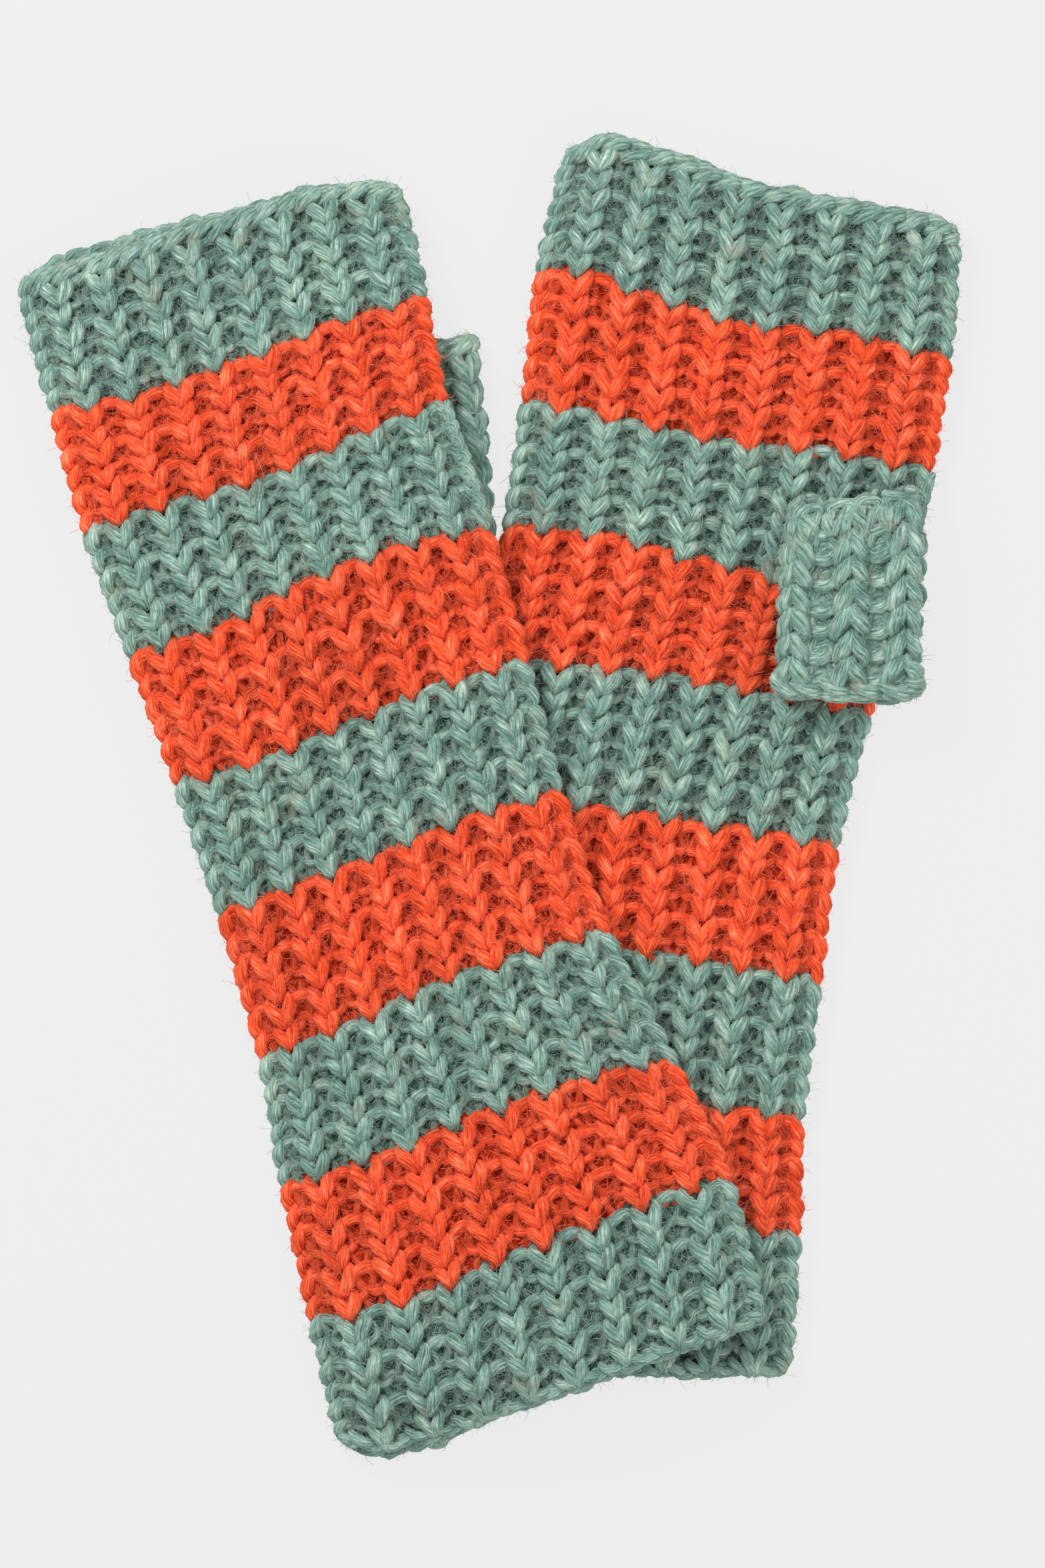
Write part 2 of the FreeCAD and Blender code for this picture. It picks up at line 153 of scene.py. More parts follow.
class Tube:
    """A flattened knitted tube between two side folds; maps cloth coordinates to space.

    s counts ribs round the tube from the left fold over the top, k counts stripes from the
    finger end, h is the height above the cloth's middle, outwards."""

    def __init__(self, left, right, base, thick=10.5, crown=4.0, ribs=RIBS, bow=None, crest=CREST, pinch=None, phase=0.0):
        self.L, self.R, self.base = Fold(left), Fold(right), base
        self.thick, self.crown, self.ribs, self.bow, self.crest = thick, crown, ribs, bow, crest
        self.pinch, self.phase, self.slip, self.corners = pinch, phase, None, ()

    def shift(self, f, k):
        if self.bow is None:
            return 0.0 * f
        kk = np.clip(k, 0.0, 9.0)
        i = np.clip(kk.astype(int), 0, 8)
        t = kk - i
        j = np.clip(np.searchsorted(BOW_F, np.clip(f, 0, 1), side="right") - 1, 0, len(BOW_F) - 2)
        g = smooth((np.clip(f, 0, 1) - BOW_F[j]) / (BOW_F[j + 1] - BOW_F[j]))
        a = self.bow[i, j] * (1 - g) + self.bow[i, j + 1] * g
        b = self.bow[i + 1, j] * (1 - g) + self.bow[i + 1, j + 1] * g
        return a * (1 - t) + b * t

    def at(self, s, k, h):
        s, k, h = np.broadcast_arrays(np.asarray(s, float), np.asarray(k, float), np.asarray(h, float))
        pl, pr = self.L.at(k), self.R.at(k)
        d = pr - pl
        w = np.linalg.norm(d, axis=-1)
        e = d / w[..., None]
        mid = 0.5 * (pl + pr)
        ro = 0.5 * self.thick
        a = 0.5 * w - ro
        q = 0.5 * math.pi * self.crest
        total = 4 * a + 4 * q
        c = np.mod((s + self.phase) / self.ribs, 1.0) * total
        # thickness may close up towards a root
        thick = self.thick * np.ones_like(k) if self.pinch is None else self.pinch(k)
        r_o = 0.5 * thick
        room = np.clip(0.5 * (thick + self.crown * (1 - np.clip(np.abs(c_u(c, q, a)), 0, 1) ** 4)) - MID, 0.5, None)
        h = np.where(h < 0, h * np.minimum(1.0, room / 3.1), h)
        rad = np.maximum(r_o - MID + h, 0.15)
        u = np.zeros_like(c)
        z = np.zeros_like(c)
        grow = self.crown * (thick / self.thick) ** 2
        near = np.abs(np.mod(c + a + q, 2 * a + 2 * q) - a - q)
        h = np.where(h > 0, h * (1 - 0.40 * np.exp(-(near / 3.6) ** 2)), h)
        rad = np.maximum(r_o - MID + h, 0.15)
        th = math.pi / 2 * (1 + c / q)                       # left fold, upper quarter
        m = c < q
        u = np.where(m, -a - rad * np.sin(th), u)
        z = np.where(m, r_o - rad * np.cos(th), z)
        m = (c >= q) & (c < q + 2 * a)                       # upper layer
        ut = -a + (c - q)
        u = np.where(m, ut, u)
        z = np.where(m, thick - MID + grow * (1 - np.abs(np.clip(ut / a, -1, 1)) ** 4) + h, z)
        c2 = c - q - 2 * a
        th = math.pi * (1 - c2 / (2 * q))                    # right fold
        m = (c2 >= 0) & (c2 < 2 * q)
        u = np.where(m, a + rad * np.sin(th), u)
        z = np.where(m, r_o - rad * np.cos(th), z)
        c3 = c2 - 2 * q
        m = (c3 >= 0) & (c3 < 2 * a)                         # lower layer
        u = np.where(m, a - c3, u)
        z = np.where(m, MID + 0.25 - h, z)
        c4 = c3 - 2 * a
        th = math.pi / 2 * (c4 / q)
        m = c4 >= 0
        u = np.where(m, -a - rad * np.sin(th), u)
        z = np.where(m, r_o - rad * np.cos(th), z)
        z = np.maximum(z, 0.15 + 0 * z)
        f = 0.5 + u / w
        x = mid[..., 0] + e[..., 0] * u
        y = mid[..., 1] + e[..., 1] * u
        sh = self.shift(f, k)
        if self.slip is not None:
            under = smooth((c3 + 4.0) / 8.0) * smooth((2 * a + 4.0 - c3) / 8.0)
            sh = sh + under * self.slip(f, k)
        for end, r_c in self.corners:
            t = np.clip(1 - np.minimum(f, 1 - f) * w / r_c, 0, 1)
            drop = 0.85 * r_c * (1 - np.sqrt(np.clip(1 - t * t, 0, 1)))
            sh = sh + (drop * smooth((end + 0.42 - k) / 0.42) if end < 0.5 else -drop * smooth((k - end + 0.35) / 0.35))
        x, y = x + e[..., 1] * sh, y - e[..., 0] * sh        # towards the cuff
        return np.stack([x, y, self.base(f, k, x, y) + z], -1)

    def row_len(self, k):
        m = lambda kk: 0.5 * (self.L.at(kk) + self.R.at(kk))
        return float(np.linalg.norm(m(k + 0.05) - m(k - 0.05)) / 0.1)


# ------------------------------------------------------------------ loops
# control points of one rib's knit loop and the purl loop after it: across (mm at a 10.8 mm rib),
# along (mm at a 10.3 mm pair of rows), height, yarn radius
PITCH, PAIR = 10.8, 10.3
WIDE_KNIT = [(-0.92, -1.30, -0.70, 1.20), (-0.42, -0.15, 0.85, 1.48), (-0.90, 0.95, 1.35, 1.72),
             (-1.55, 2.05, 1.45, 1.82), (-2.15, 3.15, 1.05, 1.72), (-2.45, 4.40, -0.10, 1.42),
             (-1.55, 5.40, -1.10, 1.15), (0.0, 5.70, -1.50, 1.10)]
WIDE_PURL = [(-1.20, -1.30, -1.20, 1.10), (-0.90, -0.60, -1.75, 1.10), (-1.35, 0.60, -1.95, 1.15),
             (-1.95, 1.80, -1.90, 1.22), (-2.20, 2.90, -1.65, 1.32), (-1.95, 3.85, -1.25, 1.45),
             (-1.05, 4.38, -1.02, 1.54), (0.0, 4.52, -0.95, 1.56)]
SMALL_KNIT = [(-0.82, -1.30, -0.70, 1.10), (-0.38, -0.20, 0.80, 1.32), (-0.82, 0.88, 1.25, 1.56),
              (-1.38, 1.92, 1.30, 1.62), (-1.85, 2.92, 0.80, 1.50), (-1.95, 4.05, -0.35, 1.25),
              (-1.10, 4.90, -1.10, 1.05), (0.0, 5.20, -1.40, 1.00)]
SMALL_PURL = [(-1.20, -1.20, -1.40, 1.00), (-0.90, -0.55, -1.95, 1.00), (-1.35, 0.60, -2.20, 1.05),
              (-1.90, 1.80, -2.20, 1.05), (-2.05, 2.90, -2.10, 1.05), (-1.70, 3.80, -2.00, 1.10),
              (-0.95, 4.30, -1.90, 1.15), (0.0, 4.45, -1.85, 1.15)]


def loop_table(wide):
    if wide:
        return WIDE_KNIT, WIDE_PURL, (2.65, -1.75, -0.80, 1.00), 4.75
    return SMALL_KNIT, SMALL_PURL, (2.60, -1.55, -1.05, 0.95), 0.0


def rib_controls(wide):
    """(n, 4) control points over one rib pitch, starting at the knit loop's left base."""
    k, p, s, y0 = loop_table(wide)
    pts = [list(q) for q in k] + [[-q[0], q[1], q[2], q[3]] for q in k[-2::-1]]
    pts.append(list(s))
    half = 0.5 * PITCH
    pts += [[half + q[0], q[1], q[2], q[3]] for q in p] + [[half - q[0], q[1], q[2], q[3]] for q in p[-2::-1]]
    pts.append([PITCH - s[0], s[1], s[2], s[3]])
    a = np.array(pts)
    kind = np.array([0] * 15 + [1] + [2] * 15 + [3])
    return a, kind, y0


def catmull(p, sub, closed):
    """Points of a Catmull-Rom curve through p (..., n, d), sub points a segment."""
    if closed:
        q = np.concatenate([p[..., -1:, :], p, p[..., :2, :]], axis=-2)
        n = p.shape[-2]
    else:
        q = np.concatenate([2 * p[..., :1, :] - p[..., 1:2, :], p, 2 * p[..., -1:, :] - p[..., -2:-1, :]], axis=-2)
        n = p.shape[-2] - 1
    out = []
    for i in range(sub):
        t = i / sub
        p0, p1, p2, p3 = q[..., 0:n, :], q[..., 1:n + 1, :], q[..., 2:n + 2, :], q[..., 3:n + 3, :]
        out.append(0.5 * (2 * p1 + (p2 - p0) * t + (2 * p0 - 5 * p1 + 4 * p2 - p3) * t * t
                          + (3 * p1 - p0 - 3 * p2 + p3) * t ** 3))
    r = np.stack(out, axis=-2).reshape(p.shape[:-2] + (n * sub, p.shape[-1]))
    if not closed:
        r = np.concatenate([r, p[..., -1:, :]], axis=-2)
    return r


class Soup:
    """Collects swept yarns and other faces for one mesh."""

    def __init__(self):
        self.v, self.f, self.uv, self.mat, self.n = [], [], [], [], 0
        self.wt, self.deep, self.r = [], [], np.random.default_rng(7)

    def add(self, verts, quads, uv, mat, wt=None, deep=None):
        self.v.append(verts)
        self.deep.append(np.ones(len(verts)) if deep is None else deep)
        self.wt.append(np.ones(len(verts)) if wt is None else wt)
        self.f.append(quads + self.n)
        self.uv.append(uv)
        self.mat.append(np.full(len(quads), mat, np.int32))
        self.n += len(verts)

    def sweep(self, path, radius, closed, sides=10, lobes=0.05, plies=3, twist_mm=16.0, mat=0, v0=0.0, wt=None, rough=0.055, deep=None):
        """Sweeps a round, slightly plied section along (n, 3) points in millimetres."""
        n = len(path)
        if closed:
            tan = np.roll(path, -1, 0) - np.roll(path, 1, 0)
            seg = np.linalg.norm(np.roll(path, -1, 0) - path, axis=1)
        else:
            tan = np.gradient(path, axis=0)
            seg = np.r_[np.linalg.norm(np.diff(path, axis=0), axis=1), 0.0]
        tan /= np.maximum(np.linalg.norm(tan, axis=1, keepdims=True), 1e-9)
        length = np.r_[0.0, np.cumsum(seg)]
        nrm = np.empty_like(path)
        ref = np.array([0.0, 0.0, 1.0]) if abs(tan[0][2]) < 0.9 else np.array([1.0, 0.0, 0.0])
        v = ref - tan[0] * (ref @ tan[0])
        v /= np.linalg.norm(v)
        for i in range(n):                                    # parallel transport
            t = tan[i]
            v = v - t * (v @ t)
            v /= math.sqrt(v @ v)
            nrm[i] = v
        bin_ = np.cross(tan, nrm)
        tw = 2 * math.pi * length[:n] / twist_mm
        if closed:                                            # spread the closing angle over the row
            t = tan[0]
            v = v - t * (v @ t)
            ang = math.atan2(float(np.cross(v, nrm[0]) @ t), float(v @ nrm[0]))
            turns = round(length[n] / twist_mm)
            tw = (2 * math.pi * turns) * length[:n] / length[n]
            add = ang * length[:n] / length[n]
        else:
            add = 0.0 * tw
        phi = np.arange(sides) * 2 * math.pi / sides
        a = phi[None, :] + add[:, None]
        rr = radius[:, None] * (1 + lobes * np.cos(plies * (phi[None, :] - tw[:, None])) + self.r.normal(0, rough, (n, sides)))
        ring = path[:, None, :] + rr[..., None] * (np.cos(a)[..., None] * nrm[:, None, :] + np.sin(a)[..., None] * bin_[:, None, :])
        verts = ring.reshape(-1, 3)
        wt = np.repeat(np.ones(n) if wt is None else wt, sides)
        deep = np.repeat(np.ones(n) if deep is None else deep, sides)
        m = n if closed else n - 1
        i = np.arange(m)[:, None]
        j = np.arange(sides)[None, :]
        i1 = (i + 1) % n
        j1 = (j + 1) % sides
        quads = np.stack(np.broadcast_arrays(i * sides + j, i * sides + j1, i1 * sides + j1, i1 * sides + j), -1).reshape(-1, 4)
        lu = np.broadcast_to(length[:m, None], (m, sides)) * 0.1 + v0
        lu1 = np.broadcast_to(length[1:m + 1, None], (m, sides)) * 0.1 + v0
        jv = np.broadcast_to(j / sides, (m, sides)) + (tw[:m, None] / (2 * math.pi)) * 0
        jv1 = jv + 1.0 / sides
        uv = np.stack([np.stack([lu, jv], -1), np.stack([lu, jv1], -1), np.stack([lu1, jv1], -1), np.stack([lu1, jv], -1)], -2).reshape(-1, 4, 2)
        if not closed:                                        # round off both ends
            for end, t, idx in ((0, -tan[0], 0), (1, tan[-1], (n - 1) * sides)):
                tip = path[0 if end == 0 else -1] + t * radius[0 if end == 0 else -1] * 0.6
                verts = np.vstack([verts, tip[None, :]])
                wt = np.r_[wt, 0.0]
                deep = np.r_[deep, deep[-1]]
                k = len(verts) - 1
                jj = np.arange(sides)
                a0, a1 = idx + jj, idx + (jj + 1) % sides
                cap = np.stack([a1, a0, np.full(sides, k), np.full(sides, k)], -1) if end == 0 else np.stack([a0, a1, np.full(sides, k), np.full(sides, k)], -1)
                quads = np.vstack([quads, cap])
                uv = np.concatenate([uv, np.zeros((sides, 4, 2))])
        self.add(verts, quads, uv, mat, wt, deep)

    def mesh(self, name, materials):
        v = np.concatenate(self.v) * 0.001
        f = np.concatenate(self.f)
        uv = np.concatenate(self.uv)
        mat = np.concatenate(self.mat)
        tri = f[:, 2] == f[:, 3]
        counts = np.where(tri, 3, 4)
        keep = np.ones(f.shape, bool)
        keep[tri, 3] = False
        loops = f[keep]
        uvs = uv[keep]
        me = bpy.data.meshes.new(name)
        me.vertices.add(len(v))
        me.vertices.foreach_set("co", v.astype(np.float32).ravel())
        me.loops.add(len(loops))
        me.loops.foreach_set("vertex_index", loops.astype(np.int32))
        me.polygons.add(len(f))
        start = np.r_[0, np.cumsum(counts)[:-1]]
        me.polygons.foreach_set("loop_start", start.astype(np.int32))
        me.polygons.foreach_set("loop_total", counts.astype(np.int32))
        me.polygons.foreach_set("material_index", mat)
        me.polygons.foreach_set("use_smooth", np.ones(len(f), bool))
        # painted shade: a per-vertex factor that darkens yarn low in the furrows, read by the wool material
        me.attributes.new("deep", "FLOAT", "POINT").data.foreach_set("value", np.concatenate(self.deep).astype(np.float32))
        layer = me.uv_layers.new(name="yarn")
        layer.data.foreach_set("uv", uvs.astype(np.float32).ravel())
        for m in materials:
            me.materials.append(m)
        me.update()
        me.validate()
        o = bpy.data.objects.new(name, me)
        bpy.context.scene.collection.objects.link(o)
        return o


# ------------------------------------------------------------------ knitting
def wander(n, reach, r):
    """A smooth random track of n values with standard deviation about reach."""
    w = r.normal(0, 1, n + 4)
    w = np.convolve(w, [0.25, 0.5, 1.0, 0.5, 0.25], "same")[2:n + 2]
    return reach * w / 1.27


class Cloth:
    """Rows of rib on one tube, from stripe coordinate k0 to k1, knitted towards smaller k (or larger, with
    towards=+1). Gives row paths as (rib, point) arrays in cloth coordinates."""

    def __init__(self, tube, seed):
        self.tube = tube
        self.r = np.random.default_rng(seed)
        n = 80
        self.drift = np.stack([wander(n, 0.30, self.r) for _ in range(tube.ribs)])     # a column's sideways track
        self.swell = 1 + np.stack([wander(n, 0.035, self.r) for _ in range(tube.ribs)])

    def row(self, k_base, dk, wide, towards=-1, stretch=None):
        """One row: arrays s, k, h, radius of shape (ribs * points,), starting at rib 0's middle."""
        t = self.tube
        ctl, kind, y0 = rib_controls(wide)
        n, m = t.ribs, len(ctl)
        r = self.r
        ctl = np.broadcast_to(ctl, (n, m, 4)).copy()
        kk = np.clip(k_base * 6 + (3 if wide else 0) + 8, 0, 78)
        i0 = int(kk)
        fr = kk - i0
        drift = self.drift[:, i0] * (1 - fr) + self.drift[:, i0 + 1] * fr
        swell = self.swell[:, i0] * (1 - fr) + self.swell[:, i0 + 1] * fr
        for g, centre in ((0, 0.0), (2, 0.5 * PITCH)):
            sel = kind == g
            x = ctl[:, sel, 0] - centre
            wide_by = r.normal(1.0, 0.07, (n, 1)) * (swell[:, None] if g == 0 else 1.0)
            lean = r.normal(0, 0.08, (n, 1))
            x = x * wide_by
            up = ctl[:, sel, 1] + r.normal(0, 0.26, (n, 1)) + lean * x
            hh = ctl[:, sel, 2] + r.normal(0, 0.10, (n, 1))
            thick = ctl[:, sel, 3] * r.normal(1.0, 0.035, (n, 1)) * (1 + r.normal(0, 0.02, x.shape))
            side = (drift if g == 0 else 0.5 * (drift + np.roll(drift, -1)))[:, None] + r.normal(0, 0.14, (n, 1))
            bend = r.normal(0, 0.06, x.shape)
            ctl[:, sel, 0] = centre + x + side + bend
            ctl[:, sel, 1] = up + r.normal(0, 0.06, x.shape)
            ctl[:, sel, 2] = hh
            ctl[:, sel, 3] = thick
        c = catmull(ctl.reshape(1, n * m, 4) + np.pad(np.repeat(np.arange(n) * PITCH, m)[:, None], ((0, 0), (0, 3)))[None],
                    1, False)[0]
        # close the row over the seam in cloth coordinates
        wrap = c[:2].copy()
        wrap[:, 0] += n * PITCH
        before = c[-1:].copy()
        before[:, 0] -= n * PITCH
        q = np.concatenate([before, c, wrap])
        p0, p1, p2, p3 = q[:-3], q[1:-2], q[2:-1], q[3:]
        out = []
        for i in range(SUB):
            u = i / SUB
            out.append(0.5 * (2 * p1 + (p2 - p0) * u + (2 * p0 - 5 * p1 + 4 * p2 - p3) * u * u
                              + (3 * p1 - p0 - 3 * p2 + p3) * u ** 3))
        c = np.stack(out, 1).reshape(-1, 4)
        s = c[:, 0] / PITCH
        k = k_base + towards * (c[:, 1] + y0) / PAIR * dk if stretch is None else k_base + towards * c[:, 1] * stretch
        return s, k, c[:, 2], c[:, 3]


SUB = 2
SIDES = 8


def knit(soup, cloth, k0, k1, pairs, part="ring", towards=-1, cut=4.0, plain=False):
    """Adds the rows between k0 and k1 to soup. part: ring, under, top_l or top_r."""
    t = cloth.tube
    dk = (k1 - k0) / pairs
    half = t.ribs / 2.0
    for p in range(pairs):
        base = k1 - p * dk if towards < 0 else k0 + p * dk
        for wide in ((True,) if plain else (False, True)):
            s, k, h, rad = cloth.row(base, dk, wide, towards, dk / 5.0 if plain else None)
            if plain:
                rad = rad * 1.12
            turn = np.mod(s + t.phase, t.ribs)
            up = (turn < half + 0.7) | (turn > 2 * half - 0.7)
            rim = np.abs(np.mod(turn + 0.5 * half, half) - 0.5 * half) < 0.42
            wt = np.where(h > -0.7, 1.0, 0.25) * np.where(up, 1.0, 0.10) * np.where(rim, 0.22, 1.0)
            deep = smooth((h + (2.9 if plain else 2.15)) / 1.7)                  # yarn low in a furrow is darker: painted shade, a per-vertex factor read by the wool material
            if part == "ring":
                soup.sweep(t.at(s, k, h), rad, True, sides=SIDES, wt=wt, deep=deep)
                continue
            lo, hi = {"under": (half, 2 * half), "top_l": (0.0, cut), "top_r": (cut, half)}[part]
            m = np.mod(np.arange(len(s)) / (len(s) / (2 * half)) + 0.0, 2 * half)
            # the row starts at a knit loop's base, 7 of 32 points before its head
            per = len(s) / (2 * half)
            first = int(round((lo + 7.0 / 32.0) * per)) % len(s)
            count = int(round((hi - lo) * per)) + 1
            idx = (first + np.arange(count)) % len(s)
            soup.sweep(t.at(s[idx], k[idx], h[idx]), rad[idx], False, sides=SIDES, wt=wt[idx], deep=deep[idx])


def backing(soup, cloth, k0, k1, s0, s1, mat, depth=-1.15, closed=False):
    """A dark woolly sheet inside the cloth, so that nothing shows between the rows; in slot 1 its darker wool is
    painted shade for the gaps between the rows.
    """
    t = cloth.tube
    ns = max(8, int((s1 - s0) * 8))
    nk = max(6, int(t.row_len(0.5 * (k0 + k1)) * (k1 - k0) / 1.6))
    s = np.linspace(s0, s1, ns + 1)
    k = np.linspace(k0, k1, nk + 1)
    S, K = np.meshgrid(s, k, indexing="ij")
    H = depth + 0.85 * np.cos(2 * math.pi * S) + cloth.r.normal(0, 0.15, S.shape)
    if closed:
        H[-1] = H[0]
    P = t.at(S, K, H)
    i, j = np.meshgrid(np.arange(ns), np.arange(nk), indexing="ij")
    w = nk + 1
    quads = np.stack([i * w + j, (i + 1) * w + j, (i + 1) * w + j + 1, i * w + j + 1], -1).reshape(-1, 4)
    S2, K2 = S * 1.1, K * 3.0
    uv = np.stack([np.stack([S2[i, j], K2[i, j]], -1), np.stack([S2[i + 1, j], K2[i + 1, j]], -1),
                   np.stack([S2[i + 1, j + 1], K2[i + 1, j + 1]], -1), np.stack([S2[i, j + 1], K2[i, j + 1]], -1)], -2).reshape(-1, 4, 2)
    soup.add(P.reshape(-1, 3), quads, uv, mat)


def sheet_fuzz(soup, cloth, k0, k1, s0, s1, count, mat, r):
    """Fibres rising out of the furrows between the ribs."""
    t = cloth.tube
    S = r.integers(math.ceil(s0), math.ceil(s1), count) + 0.5 + r.normal(0, 0.13, count)
    S = np.clip(S, s0, s1)
    K = r.uniform(k0, k1, count)
    H = np.full(count, -1.3) + r.normal(0, 0.4, count)
    a, b = t.at(S, K, H), t.at(S, K, H + 0.5)
    up = (b - a) / np.maximum(np.linalg.norm(b - a, axis=1, keepdims=True), 1e-6)
    hairs(soup, r, a, up, mat, 0.25, (1.4, 3.2), 0.060, 2)


def wisps(soup, cloth, k0, k1, s0, s1, count, mat, r):
    """A few long curling fibres lying loosely over the fabric."""
    t = cloth.tube
    for _ in range(count):
        s, k = r.uniform(s0 + 0.4, max(s0 + 0.5, min(s1, t.ribs / 2) - 0.4)), r.uniform(k0 + 0.1, k1 - 0.1)
        R = r.uniform(1.0, 5.5)
        turn = r.uniform(1.0, 5.5) if R < 2.4 else r.uniform(0.5, 2.2)
        th = r.uniform(0, 2 * math.pi) + np.linspace(0, turn, 15)
        wide = R * (1 + 0.22 * np.linspace(0, 1, 15))
        P = t.at(s + wide * np.cos(th) / t.mm, np.clip(k + wide * np.sin(th) / t.row_len(k), k0 - 0.2, k1 + 0.2),
                 2.5 + 0.7 * np.sin(th * 1.3) + r.uniform(-0.2, 0.5))
        soup.sweep(P, np.full(15, 0.062), False, sides=3, lobes=0.0, mat=mat)


def fuzz(soup, r, count, mat, length=(0.8, 2.2), lift=0.24, n_src=None):
    """Short stray fibres standing off the yarn already in soup."""
    v = np.concatenate(soup.v[:n_src] if n_src else soup.v)
    wt = np.concatenate(soup.wt[:n_src] if n_src else soup.wt)
    n = len(v)
    a = r.choice(n, int(count * 1.5), p=wt / wt.sum())
    root = v[a]
    # outward direction: away from the opposite side of the yarn
    out = root - v[np.clip(a + SIDES // 2, 0, n - 1)]
    ln = np.linalg.norm(out, axis=1, keepdims=True)
    ok = (ln[:, 0] > 0.3) & (ln[:, 0] < 5.0) & ((out[:, 2] > -0.25 * ln[:, 0]) | (wt[a] < 0.5))
    root, out = root[ok][:count], (out[ok] / ln[ok])[:count]
    hairs(soup, r, root - out * 0.12, out, mat, lift, length, 0.055, 2)


def hairs(soup, r, root, out, mat, lift, length, thick=0.060, steps=3):
    m = len(root)
    d = out * lift + r.normal(0, 0.62, (m, 3))
    d += out * np.maximum(0.0, 0.15 - np.sum(d * out, 1, keepdims=True))
    d /= np.linalg.norm(d, axis=1, keepdims=True)
    L = r.lognormal(math.log(0.5 * (length[0] + length[1])), 0.45, (m, 1)).clip(length[0] * 0.5, length[1] * 2.2)
    curl = r.normal(0, 1, (m, 3)) - 0.5 * out
    curl -= d * np.sum(curl * d, 1, keepdims=True)
    curl /= np.linalg.norm(curl, axis=1, keepdims=True)
    pts = [root]
    p, dd = root, d
    for i in range(steps):
        p = p + dd * L / steps
        dd = dd + curl * r.uniform(0.15, 0.95, (m, 1)) + r.normal(0, 0.12, (m, 3))
        dd /= np.linalg.norm(dd, axis=1, keepdims=True)
        pts.append(p)
    P = np.stack(pts, 1)
    P[..., 2] = np.maximum(P[..., 2], 0.1)
    tip = np.linspace(1.0, 0.5, steps + 1)[None, :, None] * thick * r.uniform(0.7, 1.35, (m, 1, 1))
    t = np.gradient(P, axis=1)
    t /= np.maximum(np.linalg.norm(t, axis=2, keepdims=True), 1e-6)
    n1 = np.cross(t, curl[:, None, :])
    n1 /= np.maximum(np.linalg.norm(n1, axis=2, keepdims=True), 1e-6)
    n2 = np.cross(t, n1)
    ring = np.stack([P + tip * (math.cos(q) * n1 + math.sin(q) * n2) for q in (0.0, 2.0944, 4.18879)], 2)
    verts = ring.reshape(-1, 3)
    per = (steps + 1) * 3
    base = (np.arange(m) * per)[:, None, None]
    q = []
    for i in range(steps):
        for j in range(3):
            q.append([i * 3 + j, i * 3 + (j + 1) % 3, (i + 1) * 3 + (j + 1) % 3, (i + 1) * 3 + j])
    e = steps * 3
    if steps > 2:
        q += [[0, 2, 1, 1], [e, e + 1, e + 2, e + 2]]
    quads = (base + np.array(q)[None]).reshape(-1, 4)
    uv = np.zeros((len(quads), 4, 2))
    uv[:, :, 0] = np.repeat(r.uniform(0, 40, m), len(q))[:, None]
    soup.add(verts, quads, uv, mat)


def strand(soup, tube, s, k, outward, pts, sub=3, mat=0, sides=None, jitter=None):
    """An open yarn from control points (across mm, outward mm, height, radius) about rib s and stripe place k."""
    p = np.array(pts, float)
    if jitter is not None:
        p = p + jitter.normal(0, 1, (1, 4)) * np.array([0.35, 0.28, 0.16, 0.05]) + jitter.normal(0, 1, p.shape) * np.array([0.18, 0.14, 0.12, 0.05])
    c = catmull(p, sub, False)
    unit = 1.0 / tube.row_len(k)
    P = tube.at(s + c[:, 0] / (tube.mm), k + outward * c[:, 1] * unit, c[:, 2])
    soup.sweep(P, np.maximum(c[:, 3], 0.3), False, sides=sides or SIDES)


def bind_off(soup, cloth, k, outward, s0, s1, scale=1.0, slant=1.0):
    """A chained bind-off: overlapping V stitches lying along the edge."""
    t, r = cloth.tube, cloth.r
    n = int(round((s1 - s0) * 2))
    g = 0.5 * t.mm / 5.4
    a = [(-1.2, -1.3 * slant, -1.2, 0.95), (-0.2, -0.85 * slant, 0.20, 1.22), (1.2, -0.15, 0.90, 1.52), (2.7, 0.65, 0.95, 1.58),
         (4.3, 1.25, 0.30, 1.40), (5.6, 1.2, -1.1, 1.05)]
    b = [(-0.9, 0.7, -1.6, 1.0), (0.4, 1.30, -0.60, 1.25), (2.0, 1.65, -0.45, 1.42), (3.8, 1.70, -0.70, 1.38),
         (5.4, 1.35, -1.1, 1.2), (6.4, 0.7, -1.7, 1.0)]
    for i in range(n):
        s = s0 + (i + 0.12) * 0.5
        for leg in (a, b):
            q = [(x * g, v * scale, h, w * (0.5 + 0.5 * scale)) for x, v, h, w in leg]
            lo, hi = (s0 - s) * t.mm, (s1 - s) * t.mm
            q = [(min(max(x, lo), hi), v, h, w) for x, v, h, w in q] if (i == 0 or i == n - 1) and s1 - s0 < t.ribs - 0.01 else q
            strand(soup, t, s, k, outward, q, jitter=r)
    m = n * 6
    x = np.linspace(s0, s1, m + 1)
    for v, h, w in ((0.1, -1.35, 1.25),):
        wob = np.sin(np.linspace(0, n * 2 * math.pi, m + 1))
        P = t.at(x, k + outward * (v + 0.25 * wob) / t.row_len(k), h + 0.2 * np.cos(np.linspace(0, n * 2 * math.pi, m + 1)))
        soup.sweep(P, np.full(m + 1, w), False, sides=SIDES)


